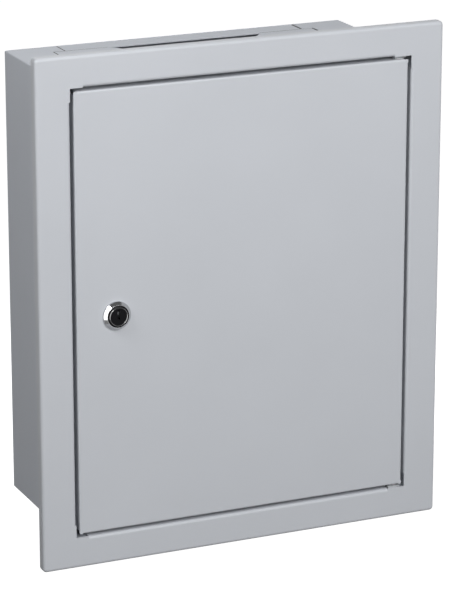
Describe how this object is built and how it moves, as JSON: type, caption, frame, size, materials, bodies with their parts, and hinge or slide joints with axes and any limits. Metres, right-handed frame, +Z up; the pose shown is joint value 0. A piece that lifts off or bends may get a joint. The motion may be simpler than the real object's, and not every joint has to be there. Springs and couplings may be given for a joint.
{
  "type": "flush-mount distribution board",
  "caption": "Sheet steel flush-mount distribution board: a wall tub with cable slots, a front frame with a pivoted door and cam lock, and device rails behind a touch guard.",
  "frame": {"origin": "centre of the four wall fixing holes, on the outer face of the tub's back wall", "axes": "+X to the right as seen from in front, +Y from the door into the wall, +Z up"},
  "size_m": [0.424, 0.1765, 0.507],
  "materials": {
    "face_coat": "light grey powder coat with a fine texture",
    "tub_coat": "light grey powder coat with a fine texture",
    "guard_coat": "light grey powder coat",
    "zinc": "bright zinc plate",
    "chrome": "polished chrome plate",
    "black_plug": "black satin",
    "brass": "drawn brass",
    "nylon": "grey nylon",
    "insulator": "dark grey moulded plastic",
    "rubber": "black rubber"
  },
  "bodies": {
    "housing": {"front_frame": "face_coat", "wall_tub": "tub_coat", "entry_plate_top_rear": "tub_coat", "entry_plate_top_front": "tub_coat", "entry_plate_bottom_rear": "tub_coat", "entry_plate_bottom_front": "tub_coat", "touch_guard": "guard_coat", "entry_screws": "zinc", "frame_brackets": "zinc", "frame_screws": "zinc", "hinge_bracket_top": "zinc", "hinge_bracket_bottom": "zinc", "hinge_pin_top": "zinc", "hinge_pin_bottom": "zinc", "carrier_studs": "zinc", "carrier_nuts": "zinc", "carrier_upright_left": "zinc", "carrier_upright_right": "zinc", "device_rail_top": "zinc", "device_rail_middle": "zinc", "device_rail_bottom": "zinc", "rail_screws": "zinc", "terminal_strip": "zinc", "strip_screws": "zinc", "terminal_screws": "zinc", "guard_standoffs": "zinc", "guard_screws": "zinc", "tub_earth_stud": "zinc", "tub_earth_nut": "zinc", "neutral_bar": "brass", "earth_bar": "brass", "hinge_washer_top": "nylon", "hinge_washer_bottom": "nylon", "bar_feet": "insulator", "door_buffers": "rubber"},
    "door": {"door_panel": "face_coat", "lock_housing": "chrome", "lock_nut": "zinc", "door_earth_stud": "zinc", "door_earth_nut": "zinc"},
    "lock": {"lock_plug": "black_plug", "lock_cam": "zinc", "cam_screw": "zinc"}
  },
  "joints": [
    {"name": "door_hinge", "type": "hinge", "parent": "housing", "child": "door", "pos_m": [0.1665, -0.162, 0], "axis": [0, 0, 1], "range_deg": [0, 105]},
    {"name": "lock_turn", "type": "hinge", "parent": "door", "child": "lock", "pos_m": [-0.1335, -0.17, -0.002], "axis": [0, 1, 0], "range_deg": [0, 90]}
  ]
}
